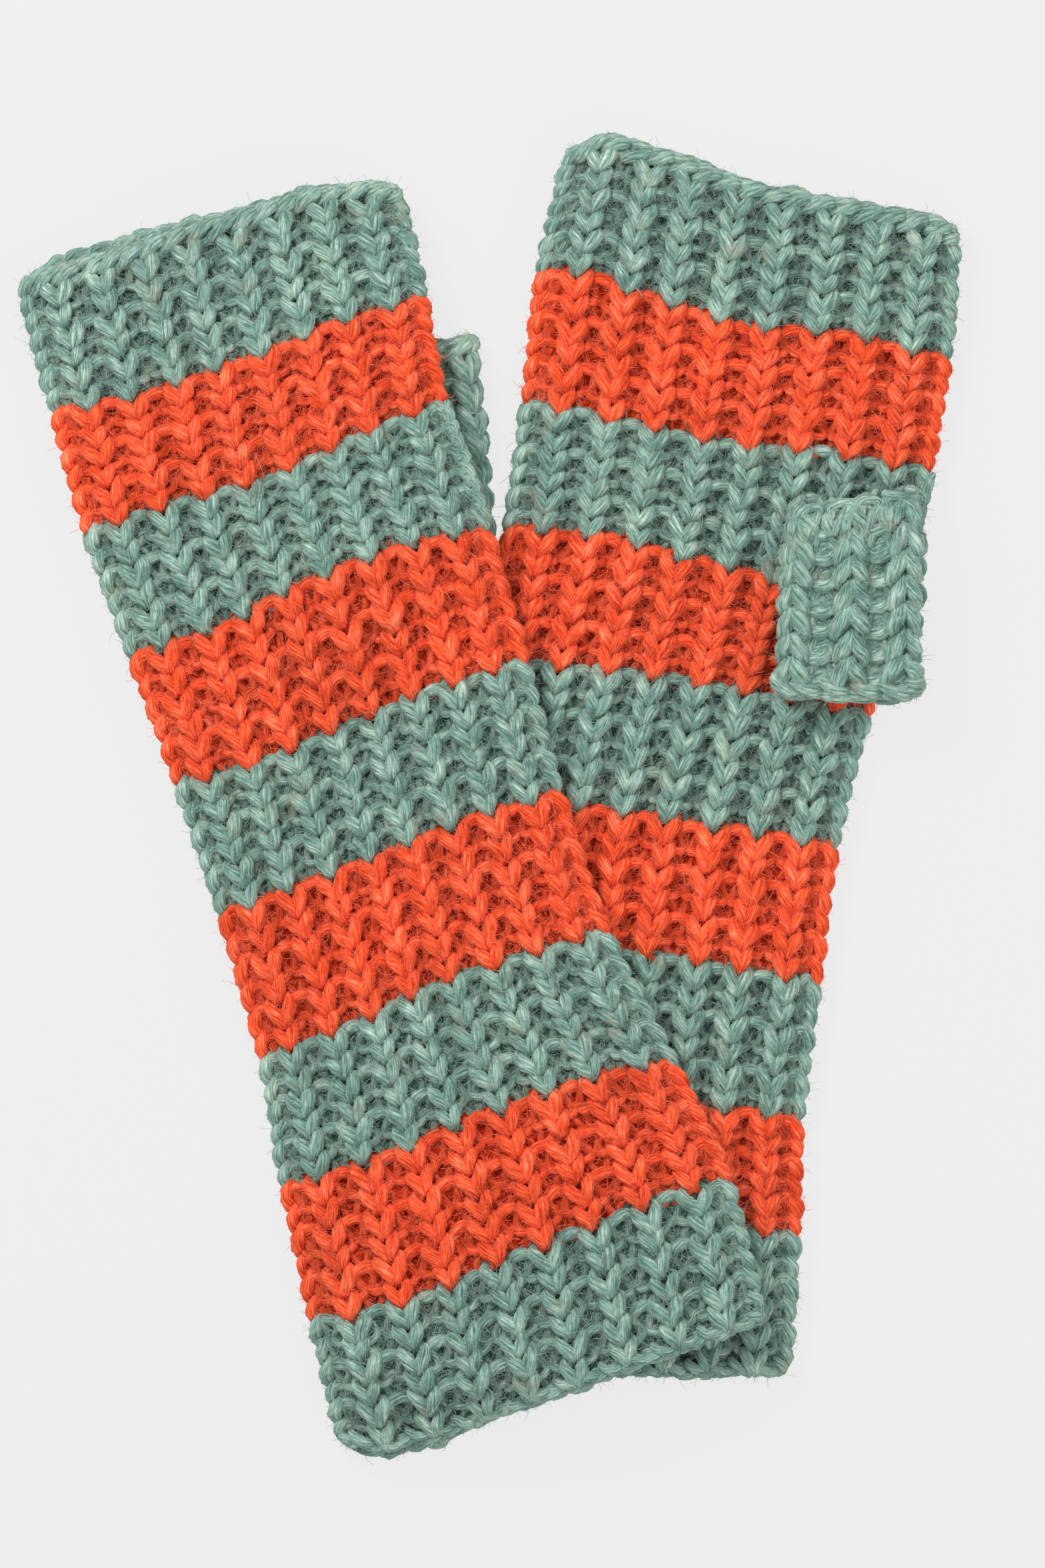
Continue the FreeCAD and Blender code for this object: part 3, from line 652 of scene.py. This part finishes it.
def cast_on(soup, cloth, k, outward, s0, s1):
    """A knotted cast-on edge: short slanting wraps with a bump at each stitch."""
    t, r = cloth.tube, cloth.r
    n = int(round((s1 - s0) * 2))
    for i in range(n):
        s = s0 + (i + 0.15) * 0.5
        wrap = [(-0.8, -1.2, -1.0, 0.85), (-0.3, -0.4, 0.3, 1.05), (0.9, 0.55, 0.85, 1.25), (2.3, 1.1, 0.55, 1.25), (3.4, 1.0, -0.6, 1.0),
                (3.9, 0.3, -1.5, 0.85)]
        loop = [(1.6, 0.2, -1.6, 0.85), (2.0, 1.3, -0.6, 1.0), (3.3, 1.75, 0.0, 1.15), (4.8, 1.5, -0.1, 1.15), (5.8, 0.7, -0.9, 0.95)]
        for q in (wrap, loop):
            lo, hi = (s0 - s) * t.mm, (s1 - s) * t.mm
            q = [(min(max(x, lo), hi), v, h, w) for x, v, h, w in q] if (i == 0 or i == n - 1) and s1 - s0 < t.ribs - 0.01 else q
            strand(soup, t, s, k, outward, q, jitter=r)
    m = n * 6
    x = np.linspace(s0, s1, m + 1)
    ph = np.linspace(0, n * 2 * math.pi, m + 1)
    P = t.at(x, k + outward * (0.25 + 0.3 * np.sin(ph)) / t.row_len(k), -1.2 + 0.3 * np.cos(ph))
    soup.sweep(P, np.full(m + 1, 1.2), False, sides=SIDES)


# ------------------------------------------------------------------ materials
def srgb(r, g, b):
    f = lambda c: (c / 255 / 12.92) if c / 255 <= 0.04045 else ((c / 255 + 0.055) / 1.055) ** 2.4
    return (f(r), f(g), f(b), 1.0)


def node(nt, kind, x=0, y=0, **kw):
    n = nt.nodes.new(kind)
    n.location = (x, y)
    for a, b in kw.items():
        setattr(n, a, b)
    return n


def math_node(nt, op, a, b=None, c=None):
    n = nt.nodes.new("ShaderNodeMath")
    n.operation = op
    for i, v in enumerate((a, b, c)):
        if v is None:
            continue
        if isinstance(v, (int, float)):
            n.inputs[i].default_value = v
        else:
            nt.links.new(v, n.inputs[i])
    return n.outputs[0]


def ramp(nt, fac, stops, mode="LINEAR"):
    n = nt.nodes.new("ShaderNodeValToRGB")
    n.color_ramp.interpolation = mode
    e = n.color_ramp.elements
    while len(e) < len(stops):
        e.new(0.5)
    for i, (p, c) in enumerate(stops):
        e[i].position = p
        e[i].color = c if len(c) == 4 else (*c, 1)
    nt.links.new(fac, n.inputs[0])
    return n.outputs[0]


def mix(nt, fac, a, b, kind="MIX"):
    n = nt.nodes.new("ShaderNodeMix")
    n.data_type = "RGBA"
    n.blend_type = kind
    for sock, v in ((n.inputs[0], fac), (n.inputs[6], a), (n.inputs[7], b)):
        if isinstance(v, (int, float)):
            sock.default_value = v
        elif isinstance(v, tuple):
            sock.default_value = v
        else:
            nt.links.new(v, sock)
    return n.outputs[2]


def noise(nt, vec, scale, detail=3.0, rough=0.55):
    n = nt.nodes.new("ShaderNodeTexNoise")
    n.inputs["Scale"].default_value = scale
    n.inputs["Detail"].default_value = detail
    n.inputs["Roughness"].default_value = rough
    nt.links.new(vec, n.inputs["Vector"])
    return n.outputs["Fac"]


def wool(name, shades, dark, bump=0.55, streak=3.6, fleck=None):
    """Heathered woollen yarn: streaks of fibre along the strand, flecks of other shades, a fuzzy sheen, and painted
    shade: darker low in the furrows, or darker as a whole for the sheets inside the cloth.
    """
    m = bpy.data.materials.new(name)
    m.use_nodes = True
    nt = m.node_tree
    nt.nodes.clear()
    out = node(nt, "ShaderNodeOutputMaterial")
    b = node(nt, "ShaderNodeBsdfPrincipled")
    nt.links.new(b.outputs[0], out.inputs[0])
    uv = node(nt, "ShaderNodeUVMap", uv_map="yarn")
    sep = node(nt, "ShaderNodeSeparateXYZ")
    nt.links.new(uv.outputs[0], sep.inputs[0])
    geo = node(nt, "ShaderNodeTexCoord")
    turn = math_node(nt, "MULTIPLY_ADD", sep.outputs[0], 10.0 / 34.0, sep.outputs[1])
    ang = math_node(nt, "MULTIPLY", turn, 2 * math.pi)
    comb = node(nt, "ShaderNodeCombineXYZ")
    nt.links.new(math_node(nt, "MULTIPLY", math_node(nt, "COSINE", ang), streak), comb.inputs[0])
    nt.links.new(math_node(nt, "MULTIPLY", math_node(nt, "SINE", ang), streak), comb.inputs[1])
    nt.links.new(math_node(nt, "MULTIPLY", sep.outputs[0], 3.0), comb.inputs[2])
    fib = noise(nt, comb.outputs[0], 1.0, 3.0, 0.62)
    comb2 = node(nt, "ShaderNodeCombineXYZ")
    nt.links.new(math_node(nt, "MULTIPLY", math_node(nt, "COSINE", ang), streak * 1.7), comb2.inputs[0])
    nt.links.new(math_node(nt, "MULTIPLY", math_node(nt, "SINE", ang), streak * 1.7), comb2.inputs[1])
    nt.links.new(math_node(nt, "MULTIPLY", sep.outputs[0], 4.4), comb2.inputs[2])
    fine = noise(nt, comb2.outputs[0], 1.0, 2.0, 0.6)
    patch = noise(nt, geo.outputs["Object"], 190.0, 3.0, 0.6)        # 5 mm patches of heather
    cloud = noise(nt, geo.outputs["Object"], 45.0, 2.0, 0.5)
    tone = math_node(nt, "ADD", math_node(nt, "MULTIPLY", fib, 0.95), math_node(nt, "MULTIPLY_ADD", patch, 0.45, -0.20))
    col = ramp(nt, tone, [(0.30, shades[0]), (0.43, shades[1]), (0.52, shades[2]), (0.60, shades[3]), (0.72, shades[4])])
    light = ramp(nt, fine, [(0.34, (0.70, 0.70, 0.70, 1)), (0.5, (1, 1, 1, 1)), (0.66, (1.24, 1.24, 1.24, 1))])
    col = mix(nt, 1.0, col, light, "MULTIPLY")
    if fleck:
        spot = noise(nt, comb2.outputs[0], 0.55, 1.0, 0.5)
        col = mix(nt, ramp(nt, spot, [(0.66, (0, 0, 0, 1)), (0.74, (0.55, 0.55, 0.55, 1))]), col, fleck)
        spot2 = noise(nt, geo.outputs["Object"], 120.0, 2.0, 0.5)
        col = mix(nt, ramp(nt, spot2, [(0.60, (0, 0, 0, 1)), (0.75, (0.35, 0.35, 0.35, 1))]), col, fleck)
    tint = ramp(nt, cloud, [(0.3, (0.90, 0.92, 0.94, 1)), (0.7, (1.08, 1.06, 1.04, 1))])
    col = mix(nt, 1.0, col, tint, "MULTIPLY")
    # painted shade: a dark below 1 darkens the whole material, otherwise the per-vertex factor darkens yarn low in the
    # furrows
    if dark < 1.0:
        col = mix(nt, 1.0, col, (dark, dark, dark, 1), "MULTIPLY")
    else:
        att = node(nt, "ShaderNodeAttribute", attribute_name="deep")
        col = mix(nt, 1.0, col, ramp(nt, att.outputs["Fac"], [(0.0, (0.70, 0.67, 0.67, 1)), (1.0, (1.01, 1.01, 1.01, 1))]), "MULTIPLY")
    nt.links.new(col, b.inputs["Base Color"])
    b.inputs["Roughness"].default_value = 1.0
    b.inputs["Specular IOR Level"].default_value = 0.03
    b.inputs["Sheen Weight"].default_value = 0.45
    b.inputs["Sheen Roughness"].default_value = 0.5
    b.inputs["Sheen Tint"].default_value = shades[4]
    hgt = math_node(nt, "ADD", math_node(nt, "MULTIPLY", fib, 0.65), math_node(nt, "MULTIPLY", fine, 0.35))
    bp = node(nt, "ShaderNodeBump")
    bp.inputs["Strength"].default_value = bump
    bp.inputs["Distance"].default_value = 0.0007
    nt.links.new(hgt, bp.inputs["Height"])
    nt.links.new(bp.outputs[0], b.inputs["Normal"])
    return m


def fibre(name, a, c, b_):
    m = bpy.data.materials.new(name)
    m.use_nodes = True
    nt = m.node_tree
    b = nt.nodes["Principled BSDF"]
    uv = node(nt, "ShaderNodeUVMap", uv_map="yarn")
    n = noise(nt, uv.outputs[0], 3.0, 2.0)
    nt.links.new(ramp(nt, n, [(0.3, a), (0.5, c), (0.72, b_)]), b.inputs["Base Color"])
    b.inputs["Roughness"].default_value = 0.7
    b.inputs["Specular IOR Level"].default_value = 0.3
    b.inputs["Sheen Weight"].default_value = 0.3
    return m


TEAL = wool("teal_wool", [srgb(70, 100, 92), srgb(100, 134, 124), srgb(128, 160, 147), srgb(152, 178, 164), srgb(186, 204, 190)],
            1.0, fleck=srgb(150, 128, 108))
ORANGE = wool("orange_wool", [srgb(176, 50, 24), srgb(214, 72, 40), srgb(238, 90, 55), srgb(250, 108, 72), srgb(255, 140, 106)],
              1.0, fleck=srgb(190, 70, 30))
# painted shade: darker copies of the teal and orange wool, for the sheets inside the cloth that fill the gaps between
# the rows
TEAL_SHADED = wool("teal_wool_shaded", [srgb(40, 62, 58), srgb(58, 84, 78), srgb(74, 104, 96), srgb(90, 120, 110), srgb(110, 136, 122)], 0.8)
ORANGE_SHADED = wool("orange_wool_shaded", [srgb(120, 26, 8), srgb(150, 36, 14), srgb(176, 48, 20), srgb(190, 58, 28), srgb(204, 76, 40)], 0.8)
TEAL_FIBRE = fibre("teal_fibre", srgb(92, 124, 112), srgb(140, 168, 154), srgb(186, 198, 184))
ORANGE_FIBRE = fibre("orange_fibre", srgb(214, 62, 26), srgb(240, 96, 56), srgb(248, 150, 112))
# slot 1 is the painted-shade copy of each wool, used by the sheets inside the cloth
MATS = {"teal": (TEAL, TEAL_SHADED, TEAL_FIBRE), "orange": (ORANGE, ORANGE_SHADED, ORANGE_FIBRE)}

# ------------------------------------------------------------------ the gloves
left = Tube(LEFT_L, LEFT_R, left_base, bow=LEFT_BOW)
right = Tube(RIGHT_L, RIGHT_R, flat_base, bow=RIGHT_BOW)
left.mm = right.mm = PITCH
left.slip = left_slip
left.corners = ((0.0, 4.5), (9.0, 6.0))
right.corners = ((0.0, 4.5), (9.0, 4.0))
RIGHT_THUMB = Tube(RIGHT_THUMB_L, RIGHT_THUMB_R, right_thumb_base, thick=9.5, crown=1.5, ribs=6, crest=3.6, phase=0.5,
                   pinch=lambda k: 9.5 * (0.42 + 0.58 * smooth((k + 0.04) / 0.30)))
LEFT_THUMB = Tube(LEFT_THUMB_L, LEFT_THUMB_R, left_thumb_base, thick=9.5, crown=1.5, ribs=6, crest=3.6, phase=-0.34)
RIGHT_THUMB.mm = LEFT_THUMB.mm = 12.3
RIGHT_THUMB.corners, LEFT_THUMB.corners = ((1.0, 7.5),), ((1.0, 6.0),)
HAIRS = 1
COLOUR = ["teal", "orange"]


def finish_piece(soup, name, colour, body, nodes, n_hairs, seed, blend=None, n_src=None, sheet=None):
    r = np.random.default_rng(seed)
    if n_hairs and HAIRS:
        fuzz(soup, r, n_hairs, 2, n_src=n_src)
        if sheet:
            sheet_fuzz(soup, *sheet, int(n_hairs * 0.24), 2, r)
            wisps(soup, *sheet, max(1, int(n_hairs / 1400)), 2, r)
    o = soup.mesh(name, MATS[colour])
    if blend:
        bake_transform(o)
    else:
        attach(o, body)
    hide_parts(*nodes)
    return o


def mm(p):
    return tuple(float(c) * 0.001 for c in p)


# the left glove's wrist between the middles of the two stripes beside it, as two bodies and two points; pieces given it
# are left unparented
WRIST = ("left_glove", "left_hand", mm(left.at(4.5, 3.55, -2.0)), mm(left.at(4.5, 2.40, -2.0)))


def glove(name, tube, seed):
    body = {"left": lambda i: "left_hand" if i < 3 else "left_glove", "right": lambda i: "right_glove"}[name]
    cloths = [Cloth(tube, seed + i) for i in range(9)]
    # a column keeps its sideways track from stripe to stripe
    for c in cloths:
        c.drift, c.swell = cloths[0].drift, cloths[0].swell
    for i in range(9):
        colour = COLOUR[i % 2]
        c = cloths[i]
        split = i == 0 or (i == 8 and name == "left")
        if not split:
            so = Soup()
            knit(so, c, i, i + 1, 3)
            n_yarn = len(so.v)
            # the sheet takes slot 1, the painted-shade copy of the wool
            backing(so, c, i - 0.03, i + 1.03, 0, 18, 1, closed=True)
            node_name = f"{name}_stripe_{i + 1}_{colour}" if i < 8 else f"{name}_cuff_band"
            bl = None
            if name == "left" and i in (2, 3):
                bl = WRIST
            finish_piece(so, "knit_" + node_name, colour, body(i), [node_name], 9000, seed + 50 + i, bl, n_yarn,
                         (c, i, i + 1, 0, 18))
            continue
        band = "finger" if i == 0 else "cuff"
        lip = f"{name}_{band}_lip"
        host = body(i)
        for part, s0, s1 in (("under", 9, 18), ("top_l", 0, 4), ("top_r", 4, 9)):
            c.r = np.random.default_rng(seed + i)         # the same rows for every part of a band
            so = Soup()
            knit(so, c, i, i + 1, 3, part)
            c.r = np.random.default_rng(seed + 900 + i)
            n_yarn = len(so.v)
            # the sheet takes slot 1, the painted-shade copy of the wool
            backing(so, c, i - (0.03 if i else 0.0), i + (1.03 if i < 8 else 1.0), s0, s1, 1)
            side = {"under": "under", "top_l": "top", "top_r": "top"}[part]
            nodes = [f"{name}_{band}_band_{side}"]
            bl = None
            k = i + 0.5
            if part == "top_l":
                bl = (host, lip, mm(tube.at(0.4, k, 0)), mm(tube.at(3.6, k, 0)))
            if part == "top_r":
                bl = (host, lip, mm(tube.at(8.6, k, 0)), mm(tube.at(5.0, k, 0)))
            finish_piece(so, f"knit_{name}_{band}_band_{part}", colour, host, nodes, 1000 if part == "under" else 3800, seed + 60 + i + s0, bl,
                         n_yarn, (c, i, i + 1, s0, s1))
    # edges
    for band, k, outward, make in (("finger", 0.0, -1, bind_off), ("cuff", 9.0, 1, cast_on)):
        host = body(0 if band == "finger" else 8)
        lip = f"{name}_{band}_lip"
        c = Cloth(tube, seed + 300 + (band == "cuff"))
        if band == "cuff" and name == "right":
            so = Soup()
            make(so, c, k, outward, 0, 18)
            finish_piece(so, f"edge_{name}_cuff", "teal", host, ["right_cuff_edge"], 900, seed + 77)
            continue
        for part, s0, s1 in (("under", 9, 18), ("top_l", 0, 4), ("top_r", 4, 9)):
            so = Soup()
            make(so, c, k, outward, s0, s1)
            bl = None
            if part == "top_l":
                bl = (host, lip, mm(tube.at(0.4, k, 0)), mm(tube.at(3.6, k, 0)))
            if part == "top_r":
                bl = (host, lip, mm(tube.at(8.6, k, 0)), mm(tube.at(5.0, k, 0)))
            side = "under" if part == "under" else "top"
            finish_piece(so, f"edge_{name}_{band}_{part}", "teal", host, [f"{name}_{band}_edge_{side}"], 400, seed + 80 + s0, bl)


def thumb(name, tube, seed, body):
    c = Cloth(tube, seed)
    n = tube.ribs
    so = Soup()
    knit(so, c, 0.0, 1.0, 7, towards=1, plain=True)
    if name == "right":
        # the first stitches grow out of the glove's fabric, leaning towards its side fold
        for i in range(7):
            s = -0.35 + i * 0.5
            for side in (-1, 1):
                lean = 1.6 + 0.35 * i
                q = [(0.2 * side, 5.2, 0.6, 1.15), (0.7 * side, 3.6, 1.25, 1.55), (1.3 * side + 0.3 * lean, 1.6, 1.2, 1.75),
                     (2.0 * side + 0.8 * lean, -0.4, 0.6, 1.65), (2.4 * side + 1.5 * lean, -2.2, -0.6, 1.35),
                     (2.4 * side + 2.0 * lean, -3.4, -2.2, 1.0)]
                strand(so, tube, s, 0.0, 1, q, jitter=c.r)
    n_yarn = len(so.v)
    backing(so, c, -0.02, 1.0, 0, n, 0, -0.75, closed=True)
    finish_piece(so, f"knit_{name}_thumb", "teal", body, [f"{name}_thumb_tube"], 3600, seed + 1, None, n_yarn, (c, 0, 1, 0, n))
    so = Soup()
    bind_off(so, c, 1.0, 1, 0, n, 1.15)
    finish_piece(so, f"edge_{name}_thumb", "teal", body, [f"{name}_thumb_edge"], 600, seed + 2)


glove("right", right, 100)
glove("left", left, 2000)
thumb("right", RIGHT_THUMB, 4000, "right_thumb")
thumb("left", LEFT_THUMB, 4100, "left_thumb")


# ------------------------------------------------------------------ inside: seams, carried yarns, picked-up rounds
def inside_strand(name, tube, k0, k1, ratio, height, radius, colour, body, twist=5.0, more=()):
    so = Soup()
    for a, b in [(k0, k1)] + list(more):
        n = max(12, int((b - a) * 26))
        k = np.linspace(a, b, n)
        pl, pr = tube.L.at(k), tube.R.at(k)
        d = pr - pl
        w = np.linalg.norm(d, axis=1)
        e = d / w[:, None]
        half = 0.5 * w - 0.5 * tube.thick
        u = ratio * half
        mid = 0.5 * (pl + pr)
        x, y = mid[:, 0] + e[:, 0] * u, mid[:, 1] + e[:, 1] * u
        z = tube.base(0.5 + u / w, k, x, y) + height
        so.sweep(np.stack([x, y, z], 1), np.full(n, radius), False, sides=12, lobes=0.12, plies=3, twist_mm=twist)
    near_wrist = name in ("left_hand_orange_carried_yarn", "left_side_seam_cuff", "left_cuff_teal_carried_yarn",
                          "left_cuff_orange_carried_yarn")   # these run behind the stripes by the wrist and are left unparented like them
    bl = WRIST if near_wrist else None
    finish_piece(so, "yarn_" + name, colour, body, [name], 60, hash_seed(name), bl)


def hash_seed(s):
    return sum((i + 1) * ord(ch) for i, ch in enumerate(s)) % 99991


WALL = 4.0
inside_strand("left_side_seam_hand", left, 0.06, 1.96, 0.92, WALL + 0.8, 0.45, "teal", "left_hand", 3.0)
inside_strand("left_side_seam_cuff", left, 3.05, 7.95, 0.92, WALL + 0.8, 0.45, "teal", "left_glove", 3.0)
inside_strand("right_side_seam_hand", right, 0.06, 1.96, 0.92, WALL + 0.8, 0.45, "teal", "right_glove", 3.0)
inside_strand("right_side_seam_cuff", right, 3.05, 8.95, 0.92, WALL + 0.8, 0.45, "teal", "right_glove", 3.0)
for col, first in (("teal", 1), ("orange", 2)):
    ratio = -0.88 if col == "teal" else -0.80
    runs = [(i - 0.12, i + 1.12) for i in range(first, 8, 2)]
    inside_strand(f"right_{col}_carried_yarn", right, *runs[0], ratio, WALL + 1.4, 1.0, col, "right_glove", more=runs[1:])
    a, b = runs[0]
    inside_strand(f"left_hand_{col}_carried_yarn", left, a, min(b, 2.94), ratio, WALL + 1.4, 1.0, col, "left_hand")
    cuff = [(max(a, 3.06), min(b, 7.96)) for a, b in runs[1:]]
    inside_strand(f"left_cuff_{col}_carried_yarn", left, *cuff[0], ratio, WALL + 1.4, 1.0, col, "left_glove", more=cuff[1:])


def picked_up(name, tube, body, seed):
    """The round of stitches picked up along the thumb hole, seen edge on at the side fold."""
    r = np.random.default_rng(seed)
    pr0, pr1 = tube.R.at(2.45), tube.R.at(2.55)
    d = (pr1 - pr0) / np.linalg.norm(pr1 - pr0)
    nrm = np.array([-d[1], d[0]])
    q = tube.R.at(2.5)
    pl = tube.L.at(2.5)
    e = (q - pl) / np.linalg.norm(q - pl)
    w = np.linalg.norm(q - pl)
    z0 = float(tube.base(np.array(1.0), np.array(2.5), np.array(q[0]), np.array(q[1]))) + 0.5 * tube.thick
    so = Soup()
    n = 18
    half, rise = 10.0, 3.4
    per = 4 * half + 2 * math.pi * rise

    def loop(t):
        c = np.mod(t, 1.0) * per
        out = np.zeros((len(c), 2))
        for i, v in enumerate(c):
            if v < 2 * half:
                out[i] = (-half + v, rise)
            elif v < 2 * half + math.pi * rise:
                a = (v - 2 * half) / rise
                out[i] = (half + rise * math.sin(a), rise * math.cos(a))
            elif v < 4 * half + math.pi * rise:
                out[i] = (half - (v - 2 * half - math.pi * rise), -rise)
            else:
                a = (v - 4 * half - math.pi * rise) / rise
                out[i] = (-half - rise * math.sin(a), -rise * math.cos(a))
        return out

    def place(ab, off):
        x = q[0] + d[0] * ab[:, 0] + nrm[0] * off
        y = q[1] + d[1] * ab[:, 0] + nrm[1] * off
        return np.stack([x, y, z0 + ab[:, 1]], 1)

    for i in range(n):
        for side, lo in ((1, 0.0), (-1, 0.35)):
            t = (i + lo + np.array([-0.15, 0.1, 0.4, 0.7, 1.0, 1.2])) / n
            ab = loop(t) * (1 + side * np.array([0.0, 0.05, 0.09, 0.09, 0.05, 0.0]))[:, None]
            off = np.array([-2.4, -1.6, -1.0, -1.0, -1.6, -2.4]) + r.normal(0, 0.1, 6)
            p = catmull(np.column_stack([place(ab, off), [0.8, 0.95, 1.1, 1.1, 0.95, 0.8]]), 3, False)
            so.sweep(p[:, :3], p[:, 3], False, sides=SIDES)
    finish_piece(so, f"round_{name}_thumb_join", "teal", body, [f"{name}_thumb_join"], 80, seed + 1)


picked_up("right", right, "right_glove", 5000)
picked_up("left", left, "left_hand", 5100)

# ------------------------------------------------------------------ table, light, camera
import bmesh  # noqa: E402

me = bpy.data.meshes.new("table_top")
bm = bmesh.new()
bmesh.ops.create_grid(bm, x_segments=1, y_segments=1, size=1.6)
bm.to_mesh(me)
bm.free()
table = bpy.data.objects.new("table_top", me)
table.location = (0, 0, -0.0004)
bpy.context.scene.collection.objects.link(table)
m = bpy.data.materials.new("pale_table")
m.use_nodes = True
nt = m.node_tree
nt.nodes.clear()
out = node(nt, "ShaderNodeOutputMaterial")
add = node(nt, "ShaderNodeAddShader")
em = node(nt, "ShaderNodeEmission")
em.inputs[0].default_value = srgb(239, 239, 239)
em.inputs[1].default_value = 0.917
df = node(nt, "ShaderNodeBsdfDiffuse")
df.inputs[0].default_value = (0.05, 0.05, 0.05, 1)
nt.links.new(em.outputs[0], add.inputs[0])
nt.links.new(df.outputs[0], add.inputs[1])
nt.links.new(add.outputs[0], out.inputs[0])
me.materials.append(m)

world = bpy.data.worlds.new("studio")
bpy.context.scene.world = world
world.use_nodes = True
bg = world.node_tree.nodes["Background"]
bg.inputs[0].default_value = (1.0, 1.0, 1.0, 1)
bg.inputs[1].default_value = 0.62
# past the table's edge the camera sees the same pale tone as the table
wn = world.node_tree
pale = wn.nodes.new("ShaderNodeBackground")
pale.inputs[0].default_value = srgb(239, 239, 239)
pale.inputs[1].default_value = 1.0
ray = wn.nodes.new("ShaderNodeLightPath")
both = wn.nodes.new("ShaderNodeMixShader")
wn.links.new(ray.outputs["Is Camera Ray"], both.inputs[0])
wn.links.new(bg.outputs[0], both.inputs[1])
wn.links.new(pale.outputs[0], both.inputs[2])
wn.links.new(both.outputs[0], wn.nodes["World Output"].inputs[0])


def lamp(name, loc, size, power, aim=(0, 0, 0)):
    l = bpy.data.lights.new(name, "AREA")
    l.shape = "SQUARE"
    l.size = size
    l.energy = power
    o = bpy.data.objects.new(name, l)
    o.location = loc
    v = Vector(aim) - Vector(loc)
    o.rotation_euler = v.to_track_quat("-Z", "Y").to_euler()
    bpy.context.scene.collection.objects.link(o)
    return o


lamp("key", (-0.55, 0.75, 1.15), 0.55, 17.0)
lamp("fill", (0.8, -0.3, 1.0), 0.9, 6.0)

cam = bpy.data.cameras.new("camera")
cam.type = "ORTHO"
cam.ortho_scale = 0.36926
cam.clip_end = 5.0
co = bpy.data.objects.new("camera", cam)
co.location = (0.00804, 0.00368, 1.0)
co.rotation_euler = (0, 0, 0)
bpy.context.scene.collection.objects.link(co)
bpy.context.scene.camera = co
vs = bpy.context.scene.view_settings
vs.view_transform = "Standard"
vs.look = "None"
